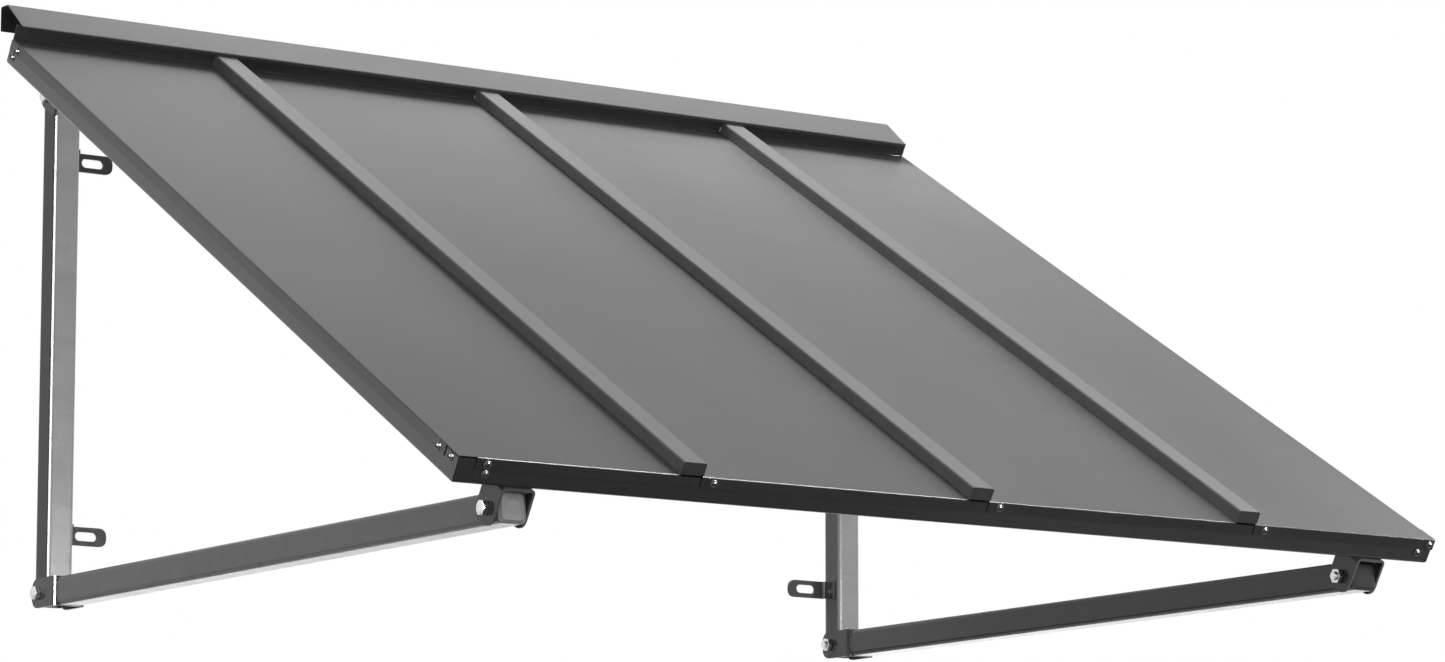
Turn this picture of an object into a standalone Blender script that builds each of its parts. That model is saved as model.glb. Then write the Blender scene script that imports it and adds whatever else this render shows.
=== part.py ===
"""A small wall awning: four standing-seam pans on a square-tube frame, held off two wall posts by two arms.

Units are metres. The wall is the plane y = 0, the roof slopes down towards -y and +z is up. The origin is
on the back face of the ridge flashing, at the middle of its length and of its height.
"""

import math

import bmesh
import bpy
from mathutils import Matrix, Vector

# Overall sizes
WIDTH = 1.1176
PROJECTION = 0.9144
SLOPE = math.radians(30.75)

# Sheet metal of the roof
SHEET = 0.0008
SHEET_BEND = 0.0014
LIP_DEPTH = 0.011
LIP_CORNER_GAP_SIDE = 0.024
LIP_CORNER_GAP_FRONT = 0.0195
BATTEN_PITCH = 0.318
BATTEN_WIDTH = 0.0245
BATTEN_HEIGHT = 0.0125
SEAM_LEG = 0.009
SEAM_BEND = 0.0008
SEAM_GAP = 0.0018

# Ridge flashing
FLASHING_SHEET = 0.001
FLASHING_INSET = 0.006
FLASHING_BACK = 0.0254
FLASHING_TOP = 0.0155
FLASHING_REACH = 0.0511
FLASHING_DROP = 0.029
FLASHING_RETURN = 0.0035
FLASHING_BEND = 0.0025
FLASHING_LIP_BEND = 0.0010
LEG_UNDER_FLASHING = 0.0010

# Square-tube frame of the roof
RAIL = 0.0254
RAIL_WALL = 0.0015
RAIL_CORNER = 0.003
BLOCK_LEG = 0.060

# Posts and arms
TUBE = 0.0286
TUBE_WALL = 0.0015
TUBE_CORNER = 0.004
POST_INSET = 0.056
POST_END = 0.0125
ARM_END = 0.0150
PLUG_CROWN = 0.0032
PLUG_FLANGE = 0.0012
PLUG_SHOULDER = 0.0223
PLUG_SHOULDER_RISE = 0.0026
PLUG_FLAT = 0.0129
PLUG_DEPTH = 0.009

# Brackets and clevises, with the pivot's place in each
BRACKET_SHEET = 0.0025
BRACKET_BEND = 0.0030
EAR_GAP = 0.0005
EAR_END = 0.0135
EAR_ROUND = 0.0115
EAR_SMALL_ROUND = 0.004
PIVOT_DROP = 0.0275
FRONT_PIVOT = 0.018
REAR_BEHIND_PIVOT = 0.0048
FRONT_EAR_FRONT = 0.0172
FRONT_EAR_REAR = 0.0158
TOP_EAR_FRONT = 0.0240
TOP_EAR_REAR = 0.0119
CLEVIS_HALF = 0.0150
CLEVIS_REACH = 0.0362

# Bolts, nuts and screws
BOLT = 0.008
BOLT_FLATS = 0.013
BOLT_HEAD = 0.0053
NUT = 0.0065
BOLT_TIP = 0.002
BOLT_TIP_CHAMFER = 0.0008
HEX_CHAMFER = 0.0006
SCREW = 0.0042
SCREW_HEAD = 0.0086
SCREW_CROWN = 0.0026
SCREW_LENGTH = 0.011
RIVET_HEAD = 0.007
RIVET_CROWN = 0.0016
RIVET_SUNK = 0.0012

# Wall lugs
LUG_SHEET = 0.003
LUG_LENGTH = 0.050
LUG_HEIGHT = 0.019
LUG_LEG = 0.022
LUG_BEND = 0.0035
LUG_ROUND = 0.0075
SLOT_LENGTH = 0.0250
SLOT_WIDTH = 0.0092
SLOT_TO_TIP = 0.0103
LUG_RIVET_OUT = 0.0148
LUG_RIVET_DROP = 0.0045
UPPER_LUG_BELOW_PIVOT = 0.063
LOWER_LUG_ABOVE_PIVOT = 0.062

# Screw places, from the roof frame's corners and from its top
LIP_SCREW_DEPTH = 0.0055
LIP_SCREW_FROM_BATTEN = 0.0245
FIRST_LIP_SCREW = 0.0300
LAST_LIP_SCREW = 0.0068
LOW_SCREW_DEPTH = 0.0152
LOW_SCREW_LEFT = 0.0310
LOW_SCREW_RIGHT = 0.0175
SIDE_SCREW_DEPTH = 0.0068
SIDE_LIP_SCREW = 0.036
SIDE_CORNER_SCREW = 0.014
SIDE_REAR_SCREW = 0.019
SIDE_END_SCREW = 0.0107
SIDE_END_SCREW_DEPTH = 0.0161

# Clearances between pieces
GAP = 0.0003
HOLE_CLEARANCE = 0.0003
BLOCK_CLEARANCE = 0.0008

# Facets
BEND_STEPS = 3
ROUND_STEPS = 4
DOME_STEPS = 3
HOLE_SIDES = 16
SCREW_SIDES = 12

# Places that follow from the sizes
HALF = WIDTH / 2
FRAME_TOP = SHEET + GAP
FRAME_BOTTOM = FRAME_TOP + RAIL
PIVOT_DEPTH = FRAME_BOTTOM + PIVOT_DROP
COS, SIN = math.cos(SLOPE), math.sin(SLOPE)
FLASHING_LIP = BATTEN_HEIGHT + GAP + FLASHING_RETURN
LIP_ALONG = (PROJECTION - FLASHING_REACH + FLASHING_LIP * SIN) / COS
RIDGE_ABOVE_FRONT = LIP_ALONG * SIN + FLASHING_LIP * COS + FLASHING_DROP
FRONT_Z = FLASHING_BACK / 2 - RIDGE_ABOVE_FRONT
POST_X = HALF - POST_INSET - TUBE / 2
PIVOT_Y = -TUBE / 2
EAR_INSIDE = TUBE / 2 + EAR_GAP
EAR_OUTSIDE = EAR_INSIDE + BRACKET_SHEET
BATTENS = [-BATTEN_PITCH, 0.0, BATTEN_PITCH]
LEFT, RIGHT = -1, 1


def roof_to_world(along, out):
    """The (y, z) of a point at a distance up the slope from the front edge and out of the roof's plane."""
    return -PROJECTION + along * COS - out * SIN, FRONT_Z + along * SIN + out * COS


FRONT_PIVOT_Y, ARM_Z = roof_to_world(FRONT_PIVOT, -PIVOT_DEPTH)
TOP_PIVOT = (PROJECTION + PIVOT_Y - PIVOT_DEPTH * SIN) / COS
TOP_PIVOT_Z = roof_to_world(TOP_PIVOT, -PIVOT_DEPTH)[1]
ROOF_LENGTH = TOP_PIVOT + REAR_BEHIND_PIVOT
PAN_REAR = ROOF_LENGTH - SHEET / 2 - SHEET_BEND


def clear_scene():
    for obj in list(bpy.data.objects):
        bpy.data.objects.remove(obj, do_unlink=True)


def make_material(name, colour, roughness, metallic):
    material = bpy.data.materials.new(name)
    material.use_nodes = True
    shader = material.node_tree.nodes["Principled BSDF"]
    shader.inputs["Base Color"].default_value = (*colour, 1)
    shader.inputs["Roughness"].default_value = roughness
    shader.inputs["Metallic"].default_value = metallic
    return material


def place(name, bm, material, parent=None, location=(0, 0, 0), turn=(0, 0, 0)):
    """Turns a bmesh into a named object in the scene."""
    mesh = bpy.data.meshes.new(name)
    bm.to_mesh(mesh)
    bm.free()
    mesh.materials.append(material)
    obj = bpy.data.objects.new(name, mesh)
    obj.parent = parent
    obj.location = location
    obj.rotation_euler = turn
    bpy.context.scene.collection.objects.link(obj)
    return obj


def shade_round(obj):
    obj.data.shade_smooth()
    obj.data.set_sharp_from_angle(angle=math.radians(35))


def thicken(obj, thickness):
    """Gives a folded mid-surface its sheet thickness, half to each side."""
    solidify = obj.modifiers.new("thickness", "SOLIDIFY")
    solidify.thickness = thickness
    solidify.offset = 0
    solidify.use_even_offset = True


def cut(obj, cutter):
    boolean = obj.modifiers.new("holes", "BOOLEAN")
    boolean.operation = "DIFFERENCE"
    boolean.solver = "EXACT"
    boolean.object = cutter


def join(obj, other):
    boolean = obj.modifiers.new("join", "BOOLEAN")
    boolean.operation = "UNION"
    boolean.solver = "EXACT"
    boolean.object = other


def hide_helper(obj):
    obj.hide_render = True
    obj.display_type = "WIRE"
    return obj


def arc(centre, radius, start, end, steps):
    """Points on an arc in the plane, both ends included; angles in degrees."""
    points = []
    for step in range(steps + 1):
        angle = math.radians(start + (end - start) * step / steps)
        points.append((centre[0] + radius * math.cos(angle), centre[1] + radius * math.sin(angle)))
    return points


def rounded_square(side, radius):
    """A square outline about the origin with rounded corners, counter-clockwise."""
    inner = side / 2 - radius
    points = []
    for corner, (sx, sy) in enumerate([(1, 1), (-1, 1), (-1, -1), (1, -1)]):
        points += arc((sx * inner, sy * inner), radius, 90 * corner, 90 * corner + 90, BEND_STEPS)
    return points


def filleted(points, radii):
    """A path in the plane with each inner corner rounded to its radius."""
    path = [Vector(points[0])]
    for before, corner, after, radius in zip(points, points[1:], points[2:], radii):
        corner = Vector(corner)
        back = (Vector(before) - corner).normalized()
        ahead = (Vector(after) - corner).normalized()
        half_angle = back.angle(ahead) / 2
        centre = corner + (back + ahead).normalized() * radius / math.sin(half_angle)
        first = corner + back * radius / math.tan(half_angle) - centre
        turn = first.angle_signed(corner + ahead * radius / math.tan(half_angle) - centre)
        for step in range(BEND_STEPS + 1):
            path.append(centre + Matrix.Rotation(-turn * step / BEND_STEPS, 2) @ first)
    return path + [Vector(points[-1])]


def ribbon(bm, path, low, high, to_point):
    """Quads along a path, swept from low to high; returns the two rows of vertices."""
    rows = [[bm.verts.new(to_point(point, at)) for point in path] for at in (low, high)]
    for index in range(len(path) - 1):
        bm.faces.new((rows[0][index], rows[0][index + 1], rows[1][index + 1], rows[1][index]))
    return rows


def fold(bm, edge, steps):
    """Adds a strip of quads that leaves an edge and follows the given steps; returns the last edge."""
    for step in steps:
        new = [bm.verts.new(vert.co + step) for vert in edge]
        bm.faces.new((edge[0], edge[1], new[1], new[0]))
        edge = new
    return edge


def bend_steps(out, towards, radius, length):
    """The steps of a quarter bend that leaves along out, turns towards a direction and runs on in it."""
    out, towards = Vector(out), Vector(towards)
    steps, before = [], Vector((0, 0, 0))
    for step in range(1, BEND_STEPS + 1):
        angle = math.pi / 2 * step / BEND_STEPS
        now = out * radius * math.sin(angle) + towards * radius * (1 - math.cos(angle))
        steps.append(now - before)
        before = now
    return steps + [towards * length]


def dome(radius, base, crown):
    """The (x, radius) points of a low domed head that stands on base."""
    points = []
    for step in range(DOME_STEPS):
        angle = math.pi / 2 * step / DOME_STEPS
        points.append((base + crown * math.sin(angle), radius * math.cos(angle)))
    return points + [(base + crown, 0)]


def turned(bm, profile, sides, axis_turn=None):
    """A closed solid of revolution about +x from (x, radius) points; a radius of zero closes an end."""
    rings = []
    for x, radius in profile:
        if radius == 0:
            rings.append([bm.verts.new((x, 0, 0))])
            continue
        ring = []
        for side in range(sides):
            angle = 2 * math.pi * side / sides
            ring.append(bm.verts.new((x, radius * math.cos(angle), radius * math.sin(angle))))
        rings.append(ring)
    for first, second in zip(rings, rings[1:]):
        for side in range(sides):
            after = (side + 1) % sides
            corners = [first[side % len(first)], first[after % len(first)]]
            corners += [second[after % len(second)], second[side % len(second)]]
            bm.faces.new(list(dict.fromkeys(corners)))
    if axis_turn is not None:
        bmesh.ops.transform(bm, matrix=axis_turn, verts=[vert for ring in rings for vert in ring])


def prism(bm, outline, low, high, to_point):
    """A closed solid: a plane outline swept from low to high."""
    rows = [[bm.verts.new(to_point(point, at)) for point in outline] for at in (low, high)]
    bm.faces.new(rows[0])
    bm.faces.new(rows[1])
    for index in range(len(outline)):
        after = (index + 1) % len(outline)
        bm.faces.new((rows[0][index], rows[0][after], rows[1][after], rows[1][index]))


def tidy(bm):
    bmesh.ops.recalc_face_normals(bm, faces=bm.faces)
    return bm


def tube_mesh(side, wall, corner, ends, to_point):
    """A square tube; ends gives its two lengthwise places for a point (across, up) of its outline."""
    bm = bmesh.new()
    outer = rounded_square(side, corner)
    inner = rounded_square(side - 2 * wall, corner - wall)
    rows = []
    for outline in (outer, inner):
        for end in ends:
            rows.append([bm.verts.new(to_point(point, end(point))) for point in outline])
    count = len(outer)
    for first, second in ((0, 1), (2, 3), (0, 2), (1, 3)):
        for index in range(count):
            after = (index + 1) % count
            corners = (rows[first][index], rows[first][after], rows[second][after], rows[second][index])
            bm.faces.new(corners)
    return tidy(bm)


def cylinders(places, radius, low, high, direction):
    """One cutter that holds a cylinder at each place, reaching from low to high along a direction."""
    bm = bmesh.new()
    turn = direction.to_track_quat("X", "Z").to_matrix().to_4x4()
    for point in places:
        matrix = Matrix.Translation(point) @ turn
        turned(bm, [(low, 0), (low, radius), (high, radius), (high, 0)], HOLE_SIDES, matrix)
    return tidy(bm)


def rear_leg_height():
    """How far the pans' rear legs stand out of the roof, to end just under the ridge flashing."""
    top, lip = Vector((-FLASHING_TOP, FLASHING_BACK / 2)), Vector(roof_to_world(LIP_ALONG, FLASHING_LIP))
    foot, out = Vector(roof_to_world(ROOF_LENGTH, 0)), Vector((-SIN, COS))
    inward = (lip - top).orthogonal().normalized()
    room = (foot - lip).dot(inward) - FLASHING_SHEET - LEG_UNDER_FLASHING
    return room / -out.dot(inward)


def make_pan(number, roof, material, screw_holes):
    """A roof pan: a sheet with legs turned up under the caps and the ridge, and lips turned down outside."""
    mid = SHEET / 2
    start = mid + SHEET_BEND
    leg = BATTEN_WIDTH / 2 - SHEET - GAP - mid
    first, last = number == 0, number == len(BATTENS)
    left = -HALF + start if first else BATTENS[number - 1] + leg + SEAM_BEND
    right = HALF - start if last else BATTENS[number] - leg - SEAM_BEND
    bm = bmesh.new()

    def corner(x, along):
        return bm.verts.new((x, along, -mid))

    lip_left = corner(-HALF + LIP_CORNER_GAP_FRONT, start) if first else corner(left, start)
    outline = []
    if first:
        outline += [corner(-HALF + GAP, LIP_CORNER_GAP_SIDE), corner(-HALF + GAP, GAP)]
        outline += [corner(-HALF + LIP_CORNER_GAP_FRONT, GAP)]
    outline.append(lip_left)
    lip_right = corner(HALF - GAP, start) if last else corner(right, start)
    outline.append(lip_right)
    if last:
        outline.append(corner(HALF - GAP, LIP_CORNER_GAP_SIDE))
    side_right = corner(right, LIP_CORNER_GAP_SIDE) if last else lip_right
    rear_right = corner(right, PAN_REAR)
    rear_left = corner(left, PAN_REAR)
    side_left = corner(left, LIP_CORNER_GAP_SIDE) if first else lip_left
    outline += [vert for vert in (side_right, rear_right, rear_left, side_left) if vert not in outline]
    bm.faces.new(outline)

    down, up = Vector((0, 0, -1)), Vector((0, 0, 1))
    lip = LIP_DEPTH - start
    lower = fold(bm, [lip_left, lip_right], bend_steps((0, -1, 0), down, SHEET_BEND, lip))
    if not last:
        upper = lower[1].co + up * lip
        near = [vert for vert in bm.verts if (vert.co - upper).length < GAP / 10]
        reach = Vector((2 * (leg + SEAM_BEND) - SEAM_GAP, 0, 0))
        fold(bm, [near[0], lower[1]], [reach])
    outer, seam = (down, SHEET_BEND, lip), (up, SEAM_BEND, SEAM_LEG)
    fold(bm, [side_left, rear_left], bend_steps((-1, 0, 0), *(outer if first else seam)))
    fold(bm, [side_right, rear_right], bend_steps((1, 0, 0), *(outer if last else seam)))
    rise = rear_leg_height() + mid - SHEET_BEND
    fold(bm, [rear_left, rear_right], bend_steps((0, 1, 0), up, SHEET_BEND, rise))
    pan = place(f"pan_{number + 1}", tidy(bm), material, roof)
    thicken(pan, SHEET)
    cut(pan, screw_holes)
    return pan


def make_batten_cap(number, roof, material):
    """A cap over the seam between two pans: a channel with its open side down and a closed front end."""
    mid = SHEET / 2
    wall, top = BATTEN_WIDTH / 2 - mid, BATTEN_HEIGHT - mid
    path = filleted([(-wall, GAP), (-wall, top), (wall, top), (wall, GAP)], (SHEET_BEND, SHEET_BEND))
    bm = bmesh.new()
    centre = BATTENS[number]
    front, _ = ribbon(
        bm, path, mid, PAN_REAR - GAP, lambda point, at: (centre + point[0], at, point[1])
    )
    bm.faces.new(front)
    cap = place(f"batten_cap_{number + 1}", tidy(bm), material, roof)
    thicken(cap, SHEET)
    return cap


def make_flashing(material):
    """The strip that laps from the wall over the roof's rear edge and rests on the batten caps."""
    mid = FLASHING_SHEET / 2
    top = FLASHING_BACK / 2 - mid
    lip_y, lip_z = roof_to_world(LIP_ALONG, FLASHING_LIP)
    end_y, end_z = roof_to_world(LIP_ALONG, FLASHING_LIP - FLASHING_RETURN)
    lean = FLASHING_SHEET * (1 - math.sqrt(0.5))
    corners = [
        (-mid, -FLASHING_BACK / 2),
        (-mid, top),
        (-FLASHING_TOP, top - lean),
        (lip_y + mid, lip_z - mid),
        (end_y + mid, end_z),
    ]
    reach = HALF - FLASHING_INSET
    bm = bmesh.new()
    path = filleted(corners, (FLASHING_BEND, FLASHING_BEND, FLASHING_LIP_BEND))
    ribbon(bm, path, -reach, reach, lambda point, at: (at, *point))
    flashing = place("ridge_flashing", tidy(bm), material)
    thicken(flashing, FLASHING_SHEET)
    return flashing


def make_rails(roof, material, screw_holes):
    """The four tubes of the roof frame, mitred where they meet."""
    side = HALF - SHEET - GAP
    front, rear = SHEET + GAP, ROOF_LENGTH
    centre_up = -FRAME_TOP - RAIL / 2
    half = RAIL / 2
    mitre = GAP / 2

    def inward(point):
        return half - point[0] + mitre

    def front_point(point, at):
        return at, front + half - point[0], centre_up + point[1]

    def rear_point(point, at):
        return at, rear - half + point[0], centre_up + point[1]

    across = (lambda point: -side + inward(point), lambda point: side - inward(point))
    along = (lambda point: front + inward(point), lambda point: rear - inward(point))
    rails = {"front_rail": (across, front_point), "rear_rail": (across, rear_point)}
    for name, sign in (("side_rail_left", LEFT), ("side_rail_right", RIGHT)):
        rails[name] = (
            along,
            lambda point, at, sign=sign: (sign * (side - half + point[0]), at, centre_up + point[1]),
        )
    for name, (ends, to_point) in rails.items():
        rail = place(name, tube_mesh(RAIL, RAIL_WALL, RAIL_CORNER, ends, to_point), material, roof)
        cut(rail, screw_holes)


def make_corner_blocks(roof, material, screw_holes):
    """The L-shaped blocks inside the rails' corners."""
    near = RAIL_WALL + BLOCK_CLEARANCE
    far = RAIL - near
    outline = [(near, near), (BLOCK_LEG, near), (BLOCK_LEG, far)]
    outline += [(far, far), (far, BLOCK_LEG), (near, BLOCK_LEG)]
    side = HALF - SHEET - GAP
    bottom, top = -FRAME_BOTTOM + near, -FRAME_TOP - near
    corners = (
        ("front_left", LEFT, SHEET + GAP, 1),
        ("front_right", RIGHT, SHEET + GAP, 1),
        ("rear_left", LEFT, ROOF_LENGTH, -1),
        ("rear_right", RIGHT, ROOF_LENGTH, -1),
    )
    for name, sign, edge, along in corners:
        bm = bmesh.new()
        prism(
            bm, outline, bottom, top,
            lambda point, at: (sign * (side - point[0]), edge + along * point[1], at),
        )
        block = place(f"corner_block_{name}", tidy(bm), material, roof)
        cut(block, screw_holes)


def lip_screw_places():
    """Where screws go through the pans' front lips, as x."""
    return [-HALF + FIRST_LIP_SCREW] + [x + LIP_SCREW_FROM_BATTEN for x in BATTENS] + [HALF - LAST_LIP_SCREW]


def roof_screws():
    """Each roof screw's name, seat and direction out of the roof, in the roof's own frame."""
    out_front = Vector((0, -1, 0))
    tube_front = SHEET + GAP
    screws = []
    for number, x in enumerate(lip_screw_places()):
        screws.append((f"lip_screw_{number + 1}", Vector((x, 0, -LIP_SCREW_DEPTH)), out_front))
    low = -LOW_SCREW_DEPTH
    screws.append(("front_screw_left", Vector((-HALF + LOW_SCREW_LEFT, tube_front, low)), out_front))
    screws.append(("front_screw_right", Vector((HALF - LOW_SCREW_RIGHT, tube_front, low)), out_front))
    for side, sign in (("left", LEFT), ("right", RIGHT)):
        out = Vector((sign, 0, 0))
        low = -SIDE_SCREW_DEPTH
        tube_side = sign * (HALF - SHEET - GAP)
        screws.append((f"side_screw_lip_{side}", Vector((sign * HALF, SIDE_LIP_SCREW, low)), out))
        screws.append((f"side_screw_corner_{side}", Vector((tube_side, SIDE_CORNER_SCREW, low)), out))
        rear = ROOF_LENGTH - SIDE_REAR_SCREW
        screws.append((f"side_screw_rear_{side}", Vector((sign * HALF, rear, low)), out))
        end = Vector((tube_side, ROOF_LENGTH - SIDE_END_SCREW, -SIDE_END_SCREW_DEPTH))
        screws.append((f"side_screw_end_{side}", end, out))
    return screws


def make_screw_holes(roof, material):
    """One cutter with the clearance hole of every roof screw."""
    bm = bmesh.new()
    radius = SCREW / 2 + HOLE_CLEARANCE
    for _, seat, out in roof_screws():
        matrix = Matrix.Translation(seat) @ out.to_track_quat("X", "Z").to_matrix().to_4x4()
        low = -SCREW_LENGTH - GAP
        turned(bm, [(low, 0), (low, radius), (SHEET, radius), (SHEET, 0)], SCREW_SIDES, matrix)
    return hide_helper(place("screw_hole_cutter", tidy(bm), material, roof))


def make_roof_screws(roof, material):
    """Pan-head screws with their heads on the lips or on the rails."""
    head, shank = SCREW_HEAD / 2, SCREW / 2
    profile = [(-SCREW_LENGTH, 0), (-SCREW_LENGTH + shank, shank), (GAP, shank)]
    profile += dome(head, GAP, SCREW_CROWN)
    for name, seat, out in roof_screws():
        bm = bmesh.new()
        turned(bm, profile, SCREW_SIDES, out.to_track_quat("X", "Z").to_matrix().to_4x4())
        shade_round(place(name, tidy(bm), material, roof, seat))


def make_bracket(name, material, front, rear, reach, rounds, bolt_hole, parent, location, turn, rivet):
    """A U bracket about its pivot: the web lies at reach above it, and two ears hang past it.

    front and rear are the ears' edges, and rounds the radii of their two lower corners.
    """
    mid = BRACKET_SHEET / 2
    ear = EAR_INSIDE + mid
    flat = ear - BRACKET_BEND
    top = reach - mid
    bm = bmesh.new()
    corners = ((-flat, -front), (flat, -front), (flat, rear), (-flat, rear))
    web = [bm.verts.new((x, y, top)) for x, y in corners]
    bm.faces.new(web)
    down = Vector((0, 0, -1))
    for edge, out in (((web[1], web[2]), Vector((1, 0, 0))), ((web[3], web[0]), Vector((-1, 0, 0)))):
        last = fold(bm, list(edge), bend_steps(out, down, BRACKET_BEND, GAP)[:-1])
        first, second = last
        small, large = rounds
        outline = arc((rear - large, -EAR_END + large), large, 0, -90, ROUND_STEPS)
        outline += arc((-front + small, -EAR_END + small), small, -90, -180, ROUND_STEPS)
        if first.co.y > second.co.y:
            first, second = second, first
        x = first.co.x
        lower = [bm.verts.new((x, point[0], point[1])) for point in outline]
        bm.faces.new([first, second] + lower)
    bracket = place(name, tidy(bm), material, parent, location, turn)
    thicken(bracket, BRACKET_SHEET)
    cut(bracket, bolt_hole)
    if rivet is not None:
        join(bracket, rivet)
    return bracket


def make_rivet(name, material, parent, location, turn):
    """A low domed rivet head that becomes part of the piece it holds; its axis is +x."""
    radius = RIVET_HEAD / 2
    bm = bmesh.new()
    turned(bm, [(-RIVET_SUNK, 0), (-RIVET_SUNK, radius)] + dome(radius, 0, RIVET_CROWN), SCREW_SIDES)
    return hide_helper(place(name, tidy(bm), material, parent, location, turn))


def chamfer(obj):
    """Breaks the edges of a hexagon's two faces."""
    bevel = obj.modifiers.new("chamfer", "BEVEL")
    bevel.width = HEX_CHAMFER
    bevel.segments = 1
    bevel.limit_method = "ANGLE"
    bevel.angle_limit = math.radians(80)


def make_bolt(name, material, location, outward, bolt_holes):
    """A hex bolt along x with its head on the outward side, and the nut on the other side."""
    shank, corner = BOLT / 2, BOLT_FLATS / math.sqrt(3)
    seat = EAR_OUTSIDE + GAP
    tip = -(seat + NUT + BOLT_TIP)
    turn = (0, 0, 0 if outward == RIGHT else math.pi)
    bm = bmesh.new()
    head = arc((0, 0), corner, 0, 300, 5)
    prism(bm, head, seat, seat + BOLT_HEAD, lambda point, at: (at, point[0], point[1]))
    bolt = place(f"{name}_bolt", tidy(bm), material, None, location, turn)
    chamfer(bolt)
    bm = bmesh.new()
    inside = seat + BOLT_HEAD / 2
    end = [(tip, 0), (tip, shank - BOLT_TIP_CHAMFER), (tip + BOLT_TIP_CHAMFER, shank)]
    turned(bm, end + [(inside, shank), (inside, 0)], HOLE_SIDES)
    join(bolt, hide_helper(place(f"{name}_shank", tidy(bm), material, None, location, turn)))

    bm = bmesh.new()
    prism(bm, head, -seat - NUT, -seat, lambda point, at: (at, point[0], point[1]))
    nut = place(f"{name}_nut", tidy(bm), material, None, location, turn)
    chamfer(nut)
    cut(nut, bolt_holes)


def pivots():
    """The name and centre of each bolted joint."""
    found = []
    for side, sign in (("left", LEFT), ("right", RIGHT)):
        found.append((f"top_{side}", sign, Vector((sign * POST_X, PIVOT_Y, TOP_PIVOT_Z))))
        found.append((f"bottom_{side}", sign, Vector((sign * POST_X, PIVOT_Y, ARM_Z))))
        found.append((f"front_{side}", sign, Vector((sign * POST_X, FRONT_PIVOT_Y, ARM_Z))))
    return found


def make_posts_and_arms(coat, plug_material, bolt_holes):
    for side, sign in (("left", LEFT), ("right", RIGHT)):
        x = sign * POST_X
        low, high = ARM_Z - POST_END, TOP_PIVOT_Z + POST_END
        ends = (lambda point: low, lambda point: high)
        mesh = tube_mesh(TUBE, TUBE_WALL, TUBE_CORNER, ends, lambda p, at: (x + p[0], PIVOT_Y + p[1], at))
        cut(place(f"wall_post_{side}", mesh, coat), bolt_holes)

        rear, front = PIVOT_Y - CLEVIS_REACH - GAP, FRONT_PIVOT_Y - ARM_END
        ends = (lambda point: rear, lambda point: front)
        mesh = tube_mesh(TUBE, TUBE_WALL, TUBE_CORNER, ends, lambda p, at: (x + p[0], at, ARM_Z + p[1]))
        cut(place(f"arm_{side}", mesh, coat), bolt_holes)

        bm = bmesh.new()
        rings = []
        body = TUBE - 2 * (TUBE_WALL + GAP)
        inner_corner = TUBE_CORNER - TUBE_WALL
        levels = (
            (front + PLUG_DEPTH, body, inner_corner),
            (front - GAP, body, inner_corner),
            (front - GAP, TUBE - GAP, TUBE_CORNER),
            (front - GAP - PLUG_FLANGE, TUBE - GAP, TUBE_CORNER),
            (front - GAP - PLUG_SHOULDER_RISE, PLUG_SHOULDER, TUBE_CORNER),
            (front - GAP - PLUG_CROWN, PLUG_FLAT, TUBE_CORNER),
        )
        for y, size, corner in levels:
            rings.append([bm.verts.new((x + p[0], y, ARM_Z + p[1])) for p in rounded_square(size, corner)])
        bm.faces.new(rings[0])
        bm.faces.new(rings[-1])
        for first, second in zip(rings, rings[1:]):
            for index in range(len(first)):
                after = (index + 1) % len(first)
                bm.faces.new((first[index], first[after], second[after], second[index]))
        shade_round(place(f"arm_plug_{side}", tidy(bm), plug_material))


def make_lug(name, material, sign, z):
    """A slotted wall lug: a plate on the wall plane and a leg riveted to the post's inner side."""
    mid = LUG_SHEET / 2
    leg_x = GAP + mid
    half = LUG_HEIGHT / 2
    start = leg_x + LUG_BEND
    bm = bmesh.new()
    tip = LUG_LENGTH - LUG_ROUND
    outline = [(start, -half)] + arc((tip, -half + LUG_ROUND), LUG_ROUND, -90, 0, ROUND_STEPS)
    outline += arc((tip, half - LUG_ROUND), LUG_ROUND, 0, 90, ROUND_STEPS) + [(start, half)]
    plate = [bm.verts.new((x, -mid, up)) for x, up in outline]
    bm.faces.new(plate)
    leg = LUG_LEG - mid - LUG_BEND
    fold(bm, [plate[0], plate[-1]], bend_steps((-1, 0, 0), (0, -1, 0), LUG_BEND, leg))
    edge = (sign * (POST_X - TUBE / 2), 0, z)
    turn = (0, 0 if sign == LEFT else math.pi, 0)
    lug = place(name, tidy(bm), material, None, edge, turn)
    thicken(lug, LUG_SHEET)

    bm = bmesh.new()
    radius = SLOT_WIDTH / 2
    inner = SLOT_LENGTH / 2 - radius
    slot = arc((inner, 0), radius, -90, 90, 2 * ROUND_STEPS)
    slot += arc((-inner, 0), radius, 90, 270, 2 * ROUND_STEPS)
    centre = LUG_LENGTH - SLOT_TO_TIP - SLOT_LENGTH / 2
    prism(bm, slot, -2 * LUG_SHEET, LUG_SHEET, lambda point, at: (centre + point[0], at, point[1]))
    cut(lug, hide_helper(place(f"{name}_slot", tidy(bm), material, None, edge, turn)))

    rivet_at = Vector(edge) + Vector((-sign * (GAP + LUG_SHEET), -LUG_RIVET_OUT, -LUG_RIVET_DROP))
    facing = (0, 0, 0 if sign == LEFT else math.pi)
    join(lug, make_rivet(f"{name}_rivet", material, None, rivet_at, facing))


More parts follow.
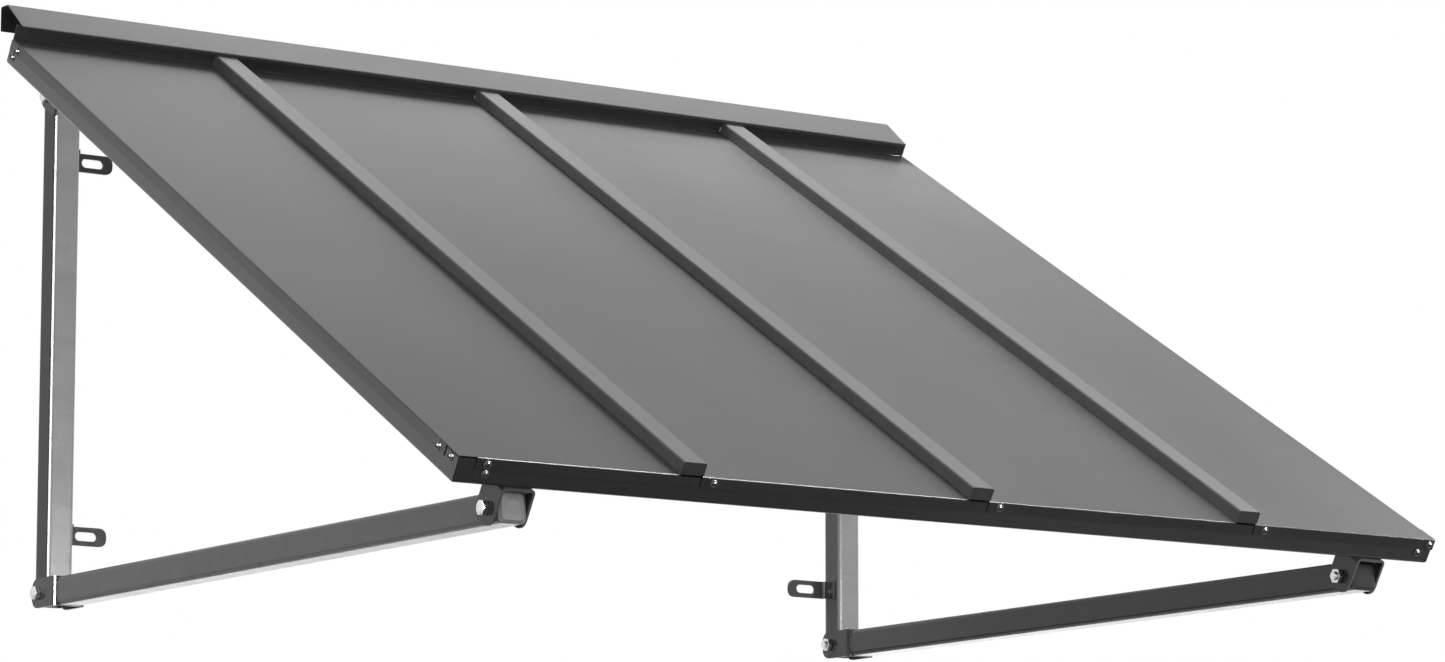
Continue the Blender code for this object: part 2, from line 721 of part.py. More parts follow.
def main():
    clear_scene()
    coat = make_material("coated_sheet", (0.16, 0.16, 0.165), 0.5, 0.0)
    frame_coat = make_material("coated_frame", (0.13, 0.13, 0.135), 0.45, 0.0)
    screw_coat = make_material("coated_screw", (0.08, 0.08, 0.085), 0.35, 0.0)
    zinc = make_material("zinc_plate", (0.75, 0.75, 0.77), 0.3, 1.0)
    plug_material = make_material("grey_plug", (0.45, 0.45, 0.46), 0.5, 0.0)
    block_material = make_material("block_plastic", (0.05, 0.05, 0.05), 0.6, 0.0)

    roof = bpy.data.objects.new("roof_frame", None)
    roof.location = (0, -PROJECTION, FRONT_Z)
    roof.rotation_euler = (SLOPE, 0, 0)
    bpy.context.scene.collection.objects.link(roof)

    screw_holes = make_screw_holes(roof, zinc)
    for number in range(len(BATTENS) + 1):
        make_pan(number, roof, coat, screw_holes)
    for number in range(len(BATTENS)):
        make_batten_cap(number, roof, coat)
    make_flashing(coat)
    make_rails(roof, frame_coat, screw_holes)
    make_corner_blocks(roof, block_material, screw_holes)
    make_roof_screws(roof, screw_coat)

    centres = [centre for _, _, centre in pivots()]
    reach = EAR_OUTSIDE + NUT + 2 * GAP
    holes = cylinders(centres, BOLT / 2 + HOLE_CLEARANCE, -reach, reach, Vector((1, 0, 0)))
    bolt_holes = hide_helper(place("bolt_hole_cutter", holes, zinc))
    web = PIVOT_DROP - GAP
    flat_down = (0, math.pi / 2, 0)
    rear_centre = ROOF_LENGTH - RAIL / 2
    for side, sign in (("left", LEFT), ("right", RIGHT)):
        for name, pivot, rivet_y, front, rear, small_round in (
            ("front_bracket", FRONT_PIVOT, FRONT_PIVOT, FRONT_EAR_FRONT, FRONT_EAR_REAR, EAR_ROUND),
            ("top_bracket", TOP_PIVOT, rear_centre, TOP_EAR_FRONT, TOP_EAR_REAR, EAR_SMALL_ROUND),
        ):
            rivet_seat = (sign * POST_X, rivet_y, -PIVOT_DEPTH + web - BRACKET_SHEET)
            rivet = make_rivet(f"{name}_{side}_rivet", zinc, roof, rivet_seat, flat_down)
            make_bracket(
                f"{name}_{side}", frame_coat, front, rear, web, (small_round, EAR_ROUND), bolt_holes,
                roof, (sign * POST_X, pivot, -PIVOT_DEPTH), (0, 0, 0), rivet,
            )
        make_bracket(
            f"arm_clevis_{side}", frame_coat, CLEVIS_HALF, CLEVIS_HALF, CLEVIS_REACH,
            (EAR_ROUND, EAR_ROUND), bolt_holes, None,
            (sign * POST_X, PIVOT_Y, ARM_Z), (math.pi / 2, 0, 0), None,
        )
        make_lug(f"upper_lug_{side}", frame_coat, sign, TOP_PIVOT_Z - UPPER_LUG_BELOW_PIVOT)
        make_lug(f"lower_lug_{side}", frame_coat, sign, ARM_Z + LOWER_LUG_ABOVE_PIVOT)
    make_posts_and_arms(frame_coat, plug_material, bolt_holes)
    for name, sign, centre in pivots():
        make_bolt(name, zinc, centre, sign, bolt_holes)


main()
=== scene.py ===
"""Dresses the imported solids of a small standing-seam wall awning: coats, fasteners, studio and camera.

Everything is in metres in the solids' own frame: the wall is the plane y = 0, +X is to the right seen from
the front and +Z is up.
"""

import math

import bpy
from bpy.props import FloatProperty, FloatVectorProperty, IntProperty, PointerProperty
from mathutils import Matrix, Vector


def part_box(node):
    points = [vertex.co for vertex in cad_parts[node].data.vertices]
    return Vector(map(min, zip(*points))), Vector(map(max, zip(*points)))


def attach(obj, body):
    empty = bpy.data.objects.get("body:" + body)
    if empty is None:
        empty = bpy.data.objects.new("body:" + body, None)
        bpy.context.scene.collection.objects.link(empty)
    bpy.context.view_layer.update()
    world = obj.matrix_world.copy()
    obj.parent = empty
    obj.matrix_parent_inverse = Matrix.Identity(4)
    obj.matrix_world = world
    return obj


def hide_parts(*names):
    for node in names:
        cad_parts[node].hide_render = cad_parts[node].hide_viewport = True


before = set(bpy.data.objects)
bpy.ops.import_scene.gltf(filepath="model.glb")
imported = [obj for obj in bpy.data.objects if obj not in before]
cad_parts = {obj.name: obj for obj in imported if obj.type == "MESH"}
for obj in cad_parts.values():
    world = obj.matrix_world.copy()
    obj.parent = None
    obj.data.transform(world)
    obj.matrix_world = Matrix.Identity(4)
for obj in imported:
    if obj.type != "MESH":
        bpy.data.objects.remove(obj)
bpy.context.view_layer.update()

bl_info = {
    "name": "Wall awning finish",
    "version": (1, 0, 0),
    "blender": (4, 5, 0),
    "location": "3D View > Sidebar > Awning",
    "description": "Coats, fasteners, studio and camera for a standing-seam wall awning",
    "category": "Object",
}

BODY = "root"
SLOPE = math.radians(30.75)
SIDES = ("left", "right")
PANS = [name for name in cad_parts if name.startswith("pan_")]
CAPS = [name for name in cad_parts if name.startswith("batten_cap_")]
SHEET_NODES = PANS + CAPS + ["ridge_flashing"]
RAIL_NODES = ["front_rail", "rear_rail", "side_rail_left", "side_rail_right"]
PLUG_NODES = [f"arm_plug_{side}" for side in SIDES]
BLOCK_NODES = [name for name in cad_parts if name.startswith("corner_block_")]
BOLT_NODES = [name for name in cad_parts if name.endswith("_bolt")]
NUT_NODES = [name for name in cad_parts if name.endswith("_nut")]
SCREW_NODES = [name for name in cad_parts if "screw" in name]
POST_NODES = [f"wall_post_{side}" for side in SIDES]
LISTED = (
    SHEET_NODES + RAIL_NODES + POST_NODES + PLUG_NODES + BLOCK_NODES + BOLT_NODES + NUT_NODES + SCREW_NODES
)
ARM_NODES = [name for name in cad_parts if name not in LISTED]  # arms, brackets, clevises and lugs

# How strongly each piece's coat mirrors, set from the tones in the photograph
PAN_IOR = 1.25
FLASHING_IOR = 1.38
CAP_IOR = 1.48
POST_IOR = 1.3
TUBE_IOR = 1.42

# A roof screw
SLOT_LENGTH = 0.42  # of the head's diameter
SLOT_WIDTH = 0.11  # of the head's diameter
SLOT_DEPTH = 1.3  # of the crown's height
RIM_HEIGHT = 0.30  # of the crown's height
DOME_REACH = 0.74  # of the head's radius
DOME_POWER = 2.6

# A bolt and its nut
CHAMFER_TOP = 0.47  # of the width across flats, like the next three
CHAMFER_BASE = 1.2
CHAMFER_DEPTH = 0.42
WASHER_FACE = 0.485
WASHER_HEIGHT = 0.0005
THREAD_LENGTH = 0.013
THREAD_DEPTH = 0.11  # of the thread's radius
ROUND_SIDES = 32

# The point at which the plain lamps aim
MIDDLE = (0, -0.5, -0.3)


# Settings that a user would change


class AWNING_PG_coat(bpy.types.PropertyGroup):
    sheet_colour: FloatVectorProperty(
        name="Sheet colour", description="Powder coat on the roof's sheet metal", subtype="COLOR",
        size=3, min=0, max=1, default=(0.120, 0.120, 0.122),
    )
    frame_colour: FloatVectorProperty(
        name="Frame colour", description="Powder coat on the tubes, brackets and lugs", subtype="COLOR",
        size=3, min=0, max=1, default=(0.096, 0.096, 0.098),
    )
    sheet_roughness: FloatProperty(
        name="Sheet roughness", description="Sheen of the sheet's coat, lower is glossier", min=0, max=1,
        default=0.38,
    )
    frame_roughness: FloatProperty(
        name="Frame roughness", description="Sheen of the frame's coat, lower is glossier", min=0, max=1,
        default=0.16,
    )
    screw_colour: FloatVectorProperty(
        name="Screw colour", description="Coat on the roof's screws", subtype="COLOR", size=3, min=0, max=1,
        default=(0.12, 0.12, 0.123),
    )
    grain: FloatProperty(
        name="Grain", description="Size of the coat's finest bumps", subtype="DISTANCE", unit="LENGTH",
        min=0.0002, max=0.01, default=0.0018,
    )
    grain_depth: FloatProperty(
        name="Grain depth", description="Height of the coat's finest bumps", subtype="DISTANCE",
        unit="LENGTH", min=0, max=0.001, default=0.0001,
    )
    cloud: FloatProperty(
        name="Cloud size", description="Size of the soft patches in the coat", subtype="DISTANCE",
        unit="LENGTH", min=0.01, max=1, default=0.16,
    )
    bow: FloatProperty(
        name="Bow", description="How far the pans bow up towards their seams", subtype="DISTANCE",
        unit="LENGTH", min=0, max=0.01, default=0.0025,
    )
    bow_reach: FloatProperty(
        name="Bow's reach", description="How far from a seam the pans start to bow", subtype="DISTANCE",
        unit="LENGTH", min=0.01, max=0.15, default=0.1,
    )
    seam_pitch: FloatProperty(
        name="Seam pitch", description="From one seam of the roof to the next", subtype="DISTANCE",
        unit="LENGTH", min=0.1, max=1, default=0.318,
    )
    plug_colour: FloatVectorProperty(
        name="Plug colour", description="Moulded plugs in the arms", subtype="COLOR",
        size=3, min=0, max=1, default=(0.17, 0.17, 0.174),
    )
    block_colour: FloatVectorProperty(
        name="Block colour", description="Moulded blocks inside the roof frame's corners", subtype="COLOR",
        size=3, min=0, max=1, default=(0.035, 0.035, 0.036),
    )
    zinc_colour: FloatVectorProperty(
        name="Zinc colour", description="Plating on the bolts and nuts", subtype="COLOR",
        size=3, min=0, max=1, default=(0.70, 0.71, 0.72),
    )


class AWNING_PG_fasteners(bpy.types.PropertyGroup):
    screw_head: FloatProperty(
        name="Screw head", description="Diameter of a roof screw's head", subtype="DISTANCE", unit="LENGTH",
        min=0.002, max=0.03, default=0.0086,
    )
    screw_crown: FloatProperty(
        name="Screw crown", description="Height of a roof screw's head", subtype="DISTANCE", unit="LENGTH",
        min=0.0005, max=0.01, default=0.0026,
    )
    screw_shank: FloatProperty(
        name="Screw shank", description="Diameter of a roof screw's shank", subtype="DISTANCE", unit="LENGTH",
        min=0.001, max=0.02, default=0.0042,
    )
    screw_length: FloatProperty(
        name="Screw length", description="Length of a roof screw under its head", subtype="DISTANCE",
        unit="LENGTH", min=0.002, max=0.1, default=0.011,
    )
    flats: FloatProperty(
        name="Across flats", description="Width of the bolts' heads and nuts", subtype="DISTANCE",
        unit="LENGTH", min=0.004, max=0.05, default=0.013,
    )
    head_height: FloatProperty(
        name="Head height", description="Thickness of a bolt's head", subtype="DISTANCE", unit="LENGTH",
        min=0.001, max=0.03, default=0.0053,
    )
    nut_height: FloatProperty(
        name="Nut height", description="Thickness of a nut", subtype="DISTANCE", unit="LENGTH",
        min=0.001, max=0.03, default=0.0065,
    )
    bolt_shank: FloatProperty(
        name="Bolt shank", description="Diameter of a bolt's shank", subtype="DISTANCE", unit="LENGTH",
        min=0.002, max=0.03, default=0.008,
    )
    thread_pitch: FloatProperty(
        name="Thread pitch", description="Step of the bolts' threads", subtype="DISTANCE", unit="LENGTH",
        min=0.0003, max=0.005, default=0.00125,
    )
    seat: FloatProperty(
        name="Bolt seat", description="From a pivot's middle to the face under a bolt's head",
        subtype="DISTANCE", unit="LENGTH", min=0.005, max=0.05, default=0.0176,
    )


class AWNING_PG_studio(bpy.types.PropertyGroup):
    floor_height: FloatProperty(
        name="Floor height", description="Height of the studio floor", subtype="DISTANCE", unit="LENGTH",
        min=-5, max=0, default=-1.32,
    )
    floor_reach: FloatProperty(
        name="Floor reach", description="Radius of the studio floor", subtype="DISTANCE", unit="LENGTH",
        min=2, max=60, default=40,
    )
    floor_colour: FloatVectorProperty(
        name="Floor colour", description="Pale floor", subtype="COLOR", size=3, min=0, max=1,
        default=(0.86, 0.86, 0.86),
    )
    sky_light: FloatProperty(
        name="Sky light", description="Light from all round", min=0, max=5, default=0.24
    )
    key_light: FloatProperty(
        name="Key light", description="Power of the big soft lamp above", subtype="POWER",
        unit="POWER", min=0, max=2000, default=2,
    )
    ridge_light: FloatProperty(
        name="Ridge light", description="Power of the small lamp above and behind the ridge", subtype="POWER",
        unit="POWER", min=0, max=2000, default=70,
    )
    sheen_light: FloatProperty(
        name="Sheen light", description="Power of the faint lamp at the right that the roof mirrors",
        subtype="POWER", unit="POWER", min=0, max=2000, default=1.6,
    )
    left_light: FloatProperty(
        name="Left light", description="Power of the upright lamp at the left that shows as highlights",
        subtype="POWER", unit="POWER", min=0, max=2000, default=240,
    )
    edge_light: FloatProperty(
        name="Edge light", description="Power of the long lamp high at the front, which picks out the bends",
        subtype="POWER", unit="POWER", min=0, max=2000, default=120,
    )
    dot_light: FloatProperty(
        name="Dot light", description="Power of the front lamp that shows in the roof's screws alone",
        subtype="POWER", unit="POWER", min=0, max=2000, default=800,
    )
    front_light: FloatProperty(
        name="Front light", description="Power of the low front lamp that lights the posts alone",
        subtype="POWER", unit="POWER", min=0, max=2000, default=265,
    )
    low_light: FloatProperty(
        name="Low light", description="Power of the low lamp behind that the arms' undersides mirror",
        subtype="POWER", unit="POWER", min=0, max=2000, default=36,
    )
    side_light: FloatProperty(
        name="Side light", description="Power of the left lamp for the roof's side and the left arm",
        subtype="POWER", unit="POWER", min=0, max=2000, default=22,
    )
    rim_light: FloatProperty(
        name="Rim light", description="Power of the low front lamp for the rails and the pans",
        subtype="POWER", unit="POWER", min=0, max=2000, default=4,
    )
    small_light: FloatProperty(
        name="Light on small pieces", description="Power of the low front lamp for the arms and brackets",
        subtype="POWER", unit="POWER", min=0, max=2000, default=42,
    )
    camera_place: FloatVectorProperty(
        name="Camera", description="Place of the camera", subtype="TRANSLATION", unit="LENGTH", size=3,
        default=(-2.8090, -4.6194, -1.1224),
    )
    camera_turn: FloatProperty(
        name="Camera turn", description="Turn of the camera to the right of the wall's normal",
        subtype="ANGLE", unit="ROTATION", default=math.radians(34.256),
    )
    camera_tilt: FloatProperty(
        name="Camera tilt", description="Tilt of the camera above level", subtype="ANGLE", unit="ROTATION",
        default=math.radians(8.1336),
    )
    camera_lens: FloatProperty(
        name="Lens", description="Focal length on a 36 mm wide sensor, in millimetres", min=20, max=400,
        default=127.03,
    )
    camera_rise: FloatProperty(
        name="Rise", description="Upward shift of the lens, as a share of the frame's width", min=-0.2,
        max=0.2, default=0.05,
    )
    facets: IntProperty(
        name="Facets", description="Sides of a round fastener", min=8, max=64, default=24
    )


# Shader maths


class Shade:
    """A socket in a material's node tree. Python's operators on it add Math nodes."""

    def __init__(self, tree, socket=None):
        self.tree = tree
        self.socket = socket

    def node(self, kind, settings=None, inputs=None, output=0):
        """Adds a node: its settings first, then its sockets' values or links. Returns the named output."""
        made = self.tree.nodes.new(kind)
        for name, value in (settings or {}).items():
            setattr(made, name, value)
        for name, value in (inputs or {}).items():
            if isinstance(value, Shade):
                self.tree.links.new(value.socket, made.inputs[name])
            else:
                made.inputs[name].default_value = value
        return Shade(self.tree, made.outputs[output])

    def _math(self, operation, first, second):
        return self.node("ShaderNodeMath", {"operation": operation}, {0: first, 1: second})

    def __add__(self, other):
        return self._math("ADD", self, other)

    def __radd__(self, other):
        return self._math("ADD", other, self)

    def __sub__(self, other):
        return self._math("SUBTRACT", self, other)

    def __rsub__(self, other):
        return self._math("SUBTRACT", other, self)

    def __mul__(self, other):
        return self._math("MULTIPLY", self, other)

    def __rmul__(self, other):
        return self._math("MULTIPLY", other, self)


def new_material(name):
    """An empty node material, with its Principled shader and its first Shade."""
    material = bpy.data.materials.new(name)
    material.use_nodes = True
    tree = material.node_tree
    return material, tree.nodes["Principled BSDF"], Shade(tree)


def place_on_surface(shade, stretch=(1, 1, 1)):
    """The object's own coordinates, stretched along its axes."""
    coordinates = shade.node("ShaderNodeTexCoord", output="Object")
    return shade.node("ShaderNodeMapping", None, {"Vector": coordinates, "Scale": stretch})


def noise(shade, size, place, detail=2.0, roughness=0.5):
    """Smooth noise from 0 to 1 with patches of about the given size."""
    inputs = {"Vector": place, "Scale": 1 / size, "Detail": detail, "Roughness": roughness}
    return shade.node("ShaderNodeTexNoise", {"noise_dimensions": "3D"}, inputs, output="Fac")


def blend(shade, factor, first, second):
    """A colour between two colours."""
    settings = {"data_type": "RGBA", "blend_type": "MIX"}
    inputs = {0: factor, 6: (*first, 1), 7: (*second, 1)}
    return shade.node("ShaderNodeMix", settings, inputs, output=2)


def scaled(colour, by):
    return tuple(min(channel * by, 1) for channel in colour)


def bow_to_seams(shade, coat):
    """Height of the pans' slight bow, from 0 away from the seams to the full bow at a seam."""
    across = shade.node("ShaderNodeSeparateXYZ", None, {"Vector": place_on_surface(shade)}, "X")
    away = shade.node("ShaderNodeMath", {"operation": "PINGPONG"}, {0: across, 1: coat.seam_pitch / 2})
    inputs = {"Value": away, "From Min": 0.0, "From Max": coat.bow_reach, "To Min": 1.0, "To Max": 0.0}
    near = shade.node("ShaderNodeMapRange", None, inputs)
    return near * near * coat.bow


def powder_coat(name, colour, sheen, coat, stretch, ior, bowed=False):
    """A satin powder coat: fine bumps, soft patches of tone, and raised specks with painted glints.

    stretch draws the patches out along a piece, as where a spray gun passed along it. A bowed coat lies on
    pans that rise to their seams.
    """
    material, shader, shade = new_material(name)
    place = place_on_surface(shade)
    patches = noise(shade, coat.cloud, place_on_surface(shade, stretch), detail=4, roughness=0.55)
    across = place_on_surface(shade, (0.22, 1, 1))
    streaks = noise(shade, coat.cloud * 0.12, across, detail=3, roughness=0.6)
    grain = noise(shade, coat.grain, place, detail=3, roughness=0.6)
    peel = noise(shade, coat.grain * 4, place, detail=1)
    specks = noise(shade, coat.grain * 1.7, place, detail=0)
    # Specks that are painted glints: lightened in the base colour below, and raised a little in the bumps
    painted_glint = shade.node("ShaderNodeMapRange", None, {"Value": specks, "From Min": 0.66, "From Max": 0.78})
    tone = (patches - 0.5) * 0.9 + (streaks - 0.5) * 0.6 + (grain - 0.5) * 0.35 + 0.5
    # The glint specks are painted highlights, lightening the base colour wherever they lie
    clamped = shade.node("ShaderNodeClamp", None, {"Value": tone + painted_glint * 0.18})
    surface = blend(shade, clamped, scaled(colour, 0.78), scaled(colour, 1.22))
    roughness = (patches - 0.5) * 0.10 + (streaks - 0.5) * 0.10 + (grain - 0.5) * 0.08 + sheen
    heights = (grain * 0.7 + peel * 0.6 + painted_glint * 0.15) * coat.grain_depth
    if bowed:
        heights = heights + bow_to_seams(shade, coat)
    bump = shade.node("ShaderNodeBump", None, {"Height": heights, "Distance": 1.0, "Strength": 1.0})
    links = shade.tree.links
    links.new(surface.socket, shader.inputs["Base Color"])
    links.new(roughness.socket, shader.inputs["Roughness"])
    links.new(bump.socket, shader.inputs["Normal"])
    shader.inputs["Metallic"].default_value = 0.0
    shader.inputs["IOR"].default_value = ior
    return material


def screw_coat(coat):
    """The dark glossy coat on the roof's screws, in soft random patches of lighter and darker tone."""
    material, shader, shade = new_material("screw_coat")
    place = place_on_surface(shade)
    cloud = noise(shade, 0.003, place, detail=3)
    marks = noise(shade, 0.0007, place, detail=2)
    surface = blend(shade, cloud, scaled(coat.screw_colour, 0.7), scaled(coat.screw_colour, 1.4))
    bump = shade.node("ShaderNodeBump", None, {"Height": marks, "Distance": 0.00002, "Strength": 1.0})
    links = shade.tree.links
    links.new(surface.socket, shader.inputs["Base Color"])
    links.new((cloud * 0.08 + marks * 0.04 + 0.18).socket, shader.inputs["Roughness"])
    links.new(bump.socket, shader.inputs["Normal"])
    shader.inputs["Metallic"].default_value = 0.5
    return material


def zinc_plate(coat):
    """Bright zinc plating with fine turning marks and a faint cloudiness."""
    material, shader, shade = new_material("zinc_plate")
    place = place_on_surface(shade)
    cloud = noise(shade, 0.004, place, detail=3)
    marks = noise(shade, 0.0006, place, detail=2)
    surface = blend(shade, cloud, scaled(coat.zinc_colour, 0.78), scaled(coat.zinc_colour, 1.15))
    roughness = cloud * 0.16 + marks * 0.08 + 0.16
    bump = shade.node("ShaderNodeBump", None, {"Height": marks, "Distance": 0.00002, "Strength": 1.0})
    links = shade.tree.links
    links.new(surface.socket, shader.inputs["Base Color"])
    links.new(roughness.socket, shader.inputs["Roughness"])
    links.new(bump.socket, shader.inputs["Normal"])
    shader.inputs["Metallic"].default_value = 1.0
    return material


def moulded_plastic(name, colour, roughness):
    """Moulded plastic with a fine spark-eroded texture and slight flow marks."""
    material, shader, shade = new_material(name)
    place = place_on_surface(shade)
    flow = noise(shade, 0.012, place_on_surface(shade, (1, 0.4, 1)), detail=2)
    texture = noise(shade, 0.0005, place, detail=2)
    tone = (flow - 0.5) * 0.8 + (texture - 0.5) * 0.3 + 0.5
    surface = blend(shade, tone, scaled(colour, 0.85), scaled(colour, 1.15))
    bump = shade.node("ShaderNodeBump", None, {"Height": texture, "Distance": 0.00004, "Strength": 1.0})
    links = shade.tree.links
    links.new(surface.socket, shader.inputs["Base Color"])
    links.new((texture * 0.12 + (roughness - 0.06)).socket, shader.inputs["Roughness"])
    links.new(bump.socket, shader.inputs["Normal"])
    return material


def coat_nodes(names, material):
    for name in names:
        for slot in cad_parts[name].material_slots:
            slot.material = material


# Geometry Nodes


class Tree:
    """A Geometry Nodes tree with named inputs, for pieces that repeat."""

    def __init__(self, name, sizes):
        self.group = bpy.data.node_groups.new(name, "GeometryNodeTree")
        interface = self.group.interface
        interface.new_socket("Geometry", in_out="INPUT", socket_type="NodeSocketGeometry")
        for size, value in sizes.items():
            kind = "NodeSocketInt" if isinstance(value, int) else "NodeSocketFloat"
            interface.new_socket(size, in_out="INPUT", socket_type=kind).default_value = value
        interface.new_socket("Geometry", in_out="OUTPUT", socket_type="NodeSocketGeometry")
        self.inputs = self.group.nodes.new("NodeGroupInput")
        self.sizes = sizes

    def size(self, name):
        return self.inputs.outputs[name]

    def node(self, kind, settings=None, inputs=None, output=0):
        """Adds a node: its settings first, then its sockets' values or links. Returns the named output."""
        made = self.group.nodes.new(kind)
        for name, value in (settings or {}).items():
            setattr(made, name, value)
        for name, value in (inputs or {}).items():
            sources = value if isinstance(value, list) else [value]
            for source in sources:
                if isinstance(source, bpy.types.NodeSocket):
                    self.group.links.new(source, made.inputs[name])
                else:
                    made.inputs[name].default_value = source
        return made.outputs[output]

    def math(self, operation, first, second=0.0):
        return self.node("ShaderNodeMath", {"operation": operation}, {0: first, 1: second})

    def vector(self, x=0.0, y=0.0, z=0.0):
        return self.node("ShaderNodeCombineXYZ", None, {"X": x, "Y": y, "Z": z})

    def cylinder(self, sides, radius, low, high, side_segments=1, fill_segments=1):
        """A closed cylinder about z from low to high."""
        depth = self.math("SUBTRACT", high, low)
        inputs = {
            "Vertices": sides,
            "Side Segments": side_segments,
            "Fill Segments": fill_segments,
            "Radius": radius,
            "Depth": depth,
        }
        made = self.node("GeometryNodeMeshCylinder", {"fill_type": "TRIANGLE_FAN"}, inputs, "Mesh")
        middle = self.math("MULTIPLY", self.math("ADD", low, high), 0.5)
        return self.moved(made, self.vector(z=middle))

    def moved(self, geometry, offset):
        return self.node("GeometryNodeTransform", None, {"Geometry": geometry, "Translation": offset})

    def boolean(self, operation, first, *others):
        settings = {"operation": operation, "solver": "EXACT"}
        if operation == "DIFFERENCE":
            meshes = {"Mesh 1": first, "Mesh 2": list(others)}
        else:
            meshes = {"Mesh 2": [first, *others]}
        return self.node("GeometryNodeMeshBoolean", settings, meshes, "Mesh")

    def finish(self, piece, material):
        """Puts the piece on each point, turned to the point's out attribute, as one real mesh."""
        out = self.node(
            "GeometryNodeInputNamedAttribute", {"data_type": "FLOAT_VECTOR"}, {"Name": "out"}, "Attribute"
        )
        turn = self.node("FunctionNodeAlignRotationToVector", {"axis": "Z"}, {"Vector": out}, "Rotation")
        spin = self.node(
            "FunctionNodeRandomValue", {"data_type": "FLOAT"}, {"Min": 0.0, "Max": math.tau, "Seed": 7}, 1
        )
        spin = self.node("FunctionNodeEulerToRotation", None, {"Euler": self.vector(z=spin)})
        turn = self.node(
            "FunctionNodeRotateRotation", {"rotation_space": "LOCAL"}, {"Rotation": turn, "Rotate By": spin}
        )
        placed = self.node(
            "GeometryNodeInstanceOnPoints",
            None,
            {"Points": self.inputs.outputs["Geometry"], "Instance": piece, "Rotation": turn},
        )
        real = self.node("GeometryNodeRealizeInstances", None, {"Geometry": placed})
        coated = self.node("GeometryNodeSetMaterial", None, {"Geometry": real, "Material": material})
        output = self.group.nodes.new("NodeGroupOutput")
        self.group.links.new(coated, output.inputs["Geometry"])


def grown_on_points(name, places, tree):
    """The plain mesh that a tree makes on points, each a place and an outward direction."""
    points = bpy.data.meshes.new(f"{name}_places")
    points.from_pydata([place for place, _ in places], [], [])
    directions = points.attributes.new("out", "FLOAT_VECTOR", "POINT")
    for index, (_, out) in enumerate(places):
        directions.data[index].vector = out
    carrier = bpy.data.objects.new(f"{name}_places", points)
    bpy.context.scene.collection.objects.link(carrier)
    grown = carrier.modifiers.new("grown", "NODES")
    grown.node_group = tree.group
    for item in tree.group.interface.items_tree:
        if item.in_out == "INPUT" and item.name in tree.sizes:
            grown[item.identifier] = tree.sizes[item.name]
    graph = bpy.context.evaluated_depsgraph_get()
    mesh = bpy.data.meshes.new_from_object(carrier.evaluated_get(graph), depsgraph=graph)
    mesh.name = name
    carrier.modifiers.remove(grown)
    bpy.data.objects.remove(carrier)
    piece = bpy.data.objects.new(name, mesh)
    bpy.context.scene.collection.objects.link(piece)
    mesh.shade_smooth()
    mesh.set_sharp_from_angle(angle=math.radians(32))
    return piece


def stand_for(piece, nodes):
    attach(piece, BODY)
    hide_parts(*nodes)


def settings():
    scene = bpy.context.scene
    return scene.awning_coat, scene.awning_fasteners, scene.awning_studio


# Where the fasteners are


def screw_seat(node, length):
    """A roof screw's seat and outward direction, read from the two tips of its solid."""
    points = [Vector(vert.co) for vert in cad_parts[node].data.vertices]
    if node.startswith(("lip_screw", "front_screw")):
        out = -Vector((0, math.cos(SLOPE), math.sin(SLOPE)))
    else:
        out = Vector((1 if node.endswith("right") else -1, 0, 0))
    tip = min(points, key=lambda point: point.dot(out))
    return tip + out * length, out


def pivot_place(node):
    """A pivot's middle and the direction in which its bolt's head points."""
    low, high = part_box(node.replace("_nut", "_bolt"))
    middle = (Vector(low) + Vector(high)) / 2
    side = 1 if "right" in node else -1
    post_low, post_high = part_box(f"wall_post_{'right' if side > 0 else 'left'}")
    return Vector(((post_low[0] + post_high[0]) / 2, middle.y, middle.z)), Vector((side, 0, 0))


# Trees


def screw_tree(fasteners, sides, material):
    """A domed screw with a flange and a crossed recess, standing on z = 0."""
    tree = Tree(
        "pan_head_screw",
        {
            "Head": fasteners.screw_head,
            "Crown": fasteners.screw_crown,
            "Shank": fasteners.screw_shank,
            "Length": fasteners.screw_length,
            "Gap": 0.0003,
            "Dome": DOME_REACH,
            "Sides": sides,
        },
    )
    radius = tree.math("MULTIPLY", tree.size("Head"), 0.5)
    rim = tree.math("MULTIPLY", tree.size("Crown"), RIM_HEIGHT)
    base = tree.size("Gap")
    head = tree.cylinder(tree.size("Sides"), radius, base, tree.math("ADD", base, rim), 1, 14)
    place = tree.node("GeometryNodeInputPosition")
    height = tree.node("ShaderNodeSeparateXYZ", None, {"Vector": place}, "Z")
    across = tree.node("ShaderNodeVectorMath", {"operation": "MULTIPLY"}, {0: place, 1: (1, 1, 0)})
    away = tree.node("ShaderNodeVectorMath", {"operation": "LENGTH"}, {0: across}, "Value")
    share = tree.math("DIVIDE", away, tree.math("MULTIPLY", radius, tree.size("Dome")))
    drop = tree.math("MAXIMUM", tree.math("SUBTRACT", 1.0, tree.math("POWER", share, DOME_POWER)), 0.0)
    rise = tree.math("MULTIPLY", drop, tree.math("SUBTRACT", tree.size("Crown"), rim))
    on_top = tree.math("GREATER_THAN", height, tree.math("ADD", base, tree.math("MULTIPLY", rim, 0.5)))
    lift = tree.vector(z=tree.math("MULTIPLY", rise, on_top))
    head = tree.node("GeometryNodeSetPosition", None, {"Geometry": head, "Offset": lift})
    shank = tree.cylinder(
        12,
        tree.math("MULTIPLY", tree.size("Shank"), 0.5),
        tree.math("MULTIPLY", tree.size("Length"), -1.0),
        tree.math("ADD", base, tree.math("MULTIPLY", rim, 0.5)),
    )
    whole = tree.boolean("UNION", head, shank)
    arm = tree.math("MULTIPLY", tree.size("Head"), SLOT_LENGTH)
    width = tree.math("MULTIPLY", tree.size("Head"), SLOT_WIDTH)
    depth = tree.math("MULTIPLY", tree.size("Crown"), SLOT_DEPTH)
    top = tree.vector(z=tree.math("ADD", base, tree.size("Crown")))
    slots = []
    for x, y in ((arm, width), (width, arm)):
        bar = tree.node("GeometryNodeMeshCube", None, {"Size": tree.vector(x, y, depth)}, "Mesh")
        slots.append(tree.moved(bar, top))
    tree.finish(tree.boolean("DIFFERENCE", whole, *slots), material)
    return tree


